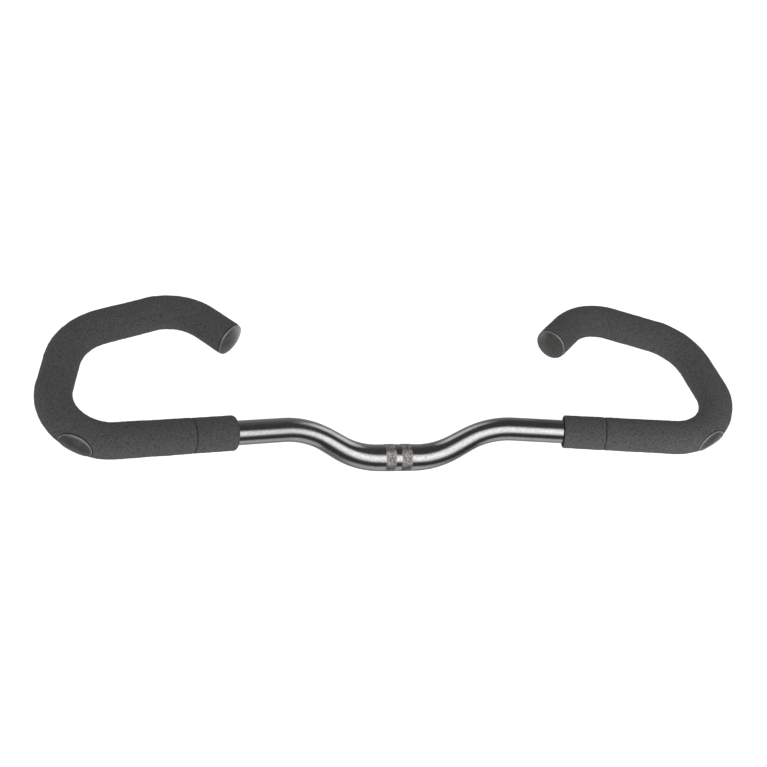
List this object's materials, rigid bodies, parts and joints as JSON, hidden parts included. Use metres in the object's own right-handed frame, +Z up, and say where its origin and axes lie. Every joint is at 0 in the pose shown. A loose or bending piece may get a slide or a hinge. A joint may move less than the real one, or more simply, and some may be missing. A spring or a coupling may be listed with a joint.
{
  "type": "riser handlebar",
  "caption": "Riser bicycle handlebar in bent tube with a knurled stem clamp, swept-back grips and foam-covered forward loops closed by moulded plugs.",
  "frame": {"origin": "middle of the stem clamp zone, on the tube's axis", "axes": "+X along the clamp axis to the rider's right, +Y forward, +Z up, as fitted on a bicycle"},
  "size_m": [0.6432, 0.1429, 0.1495],
  "materials": {
    "tube": "satin brushed",
    "foam": "matt closed-cell foam",
    "plug": "semi-gloss moulded"
  },
  "bodies": {
    "root": {"handlebar_tube": "tube", "left_foam_grip": "foam", "right_foam_grip": "foam", "left_foam_collar": "foam", "right_foam_collar": "foam", "left_end_plug": "plug", "right_end_plug": "plug", "left_corner_plug": "plug", "right_corner_plug": "plug"}
  },
  "joints": []
}
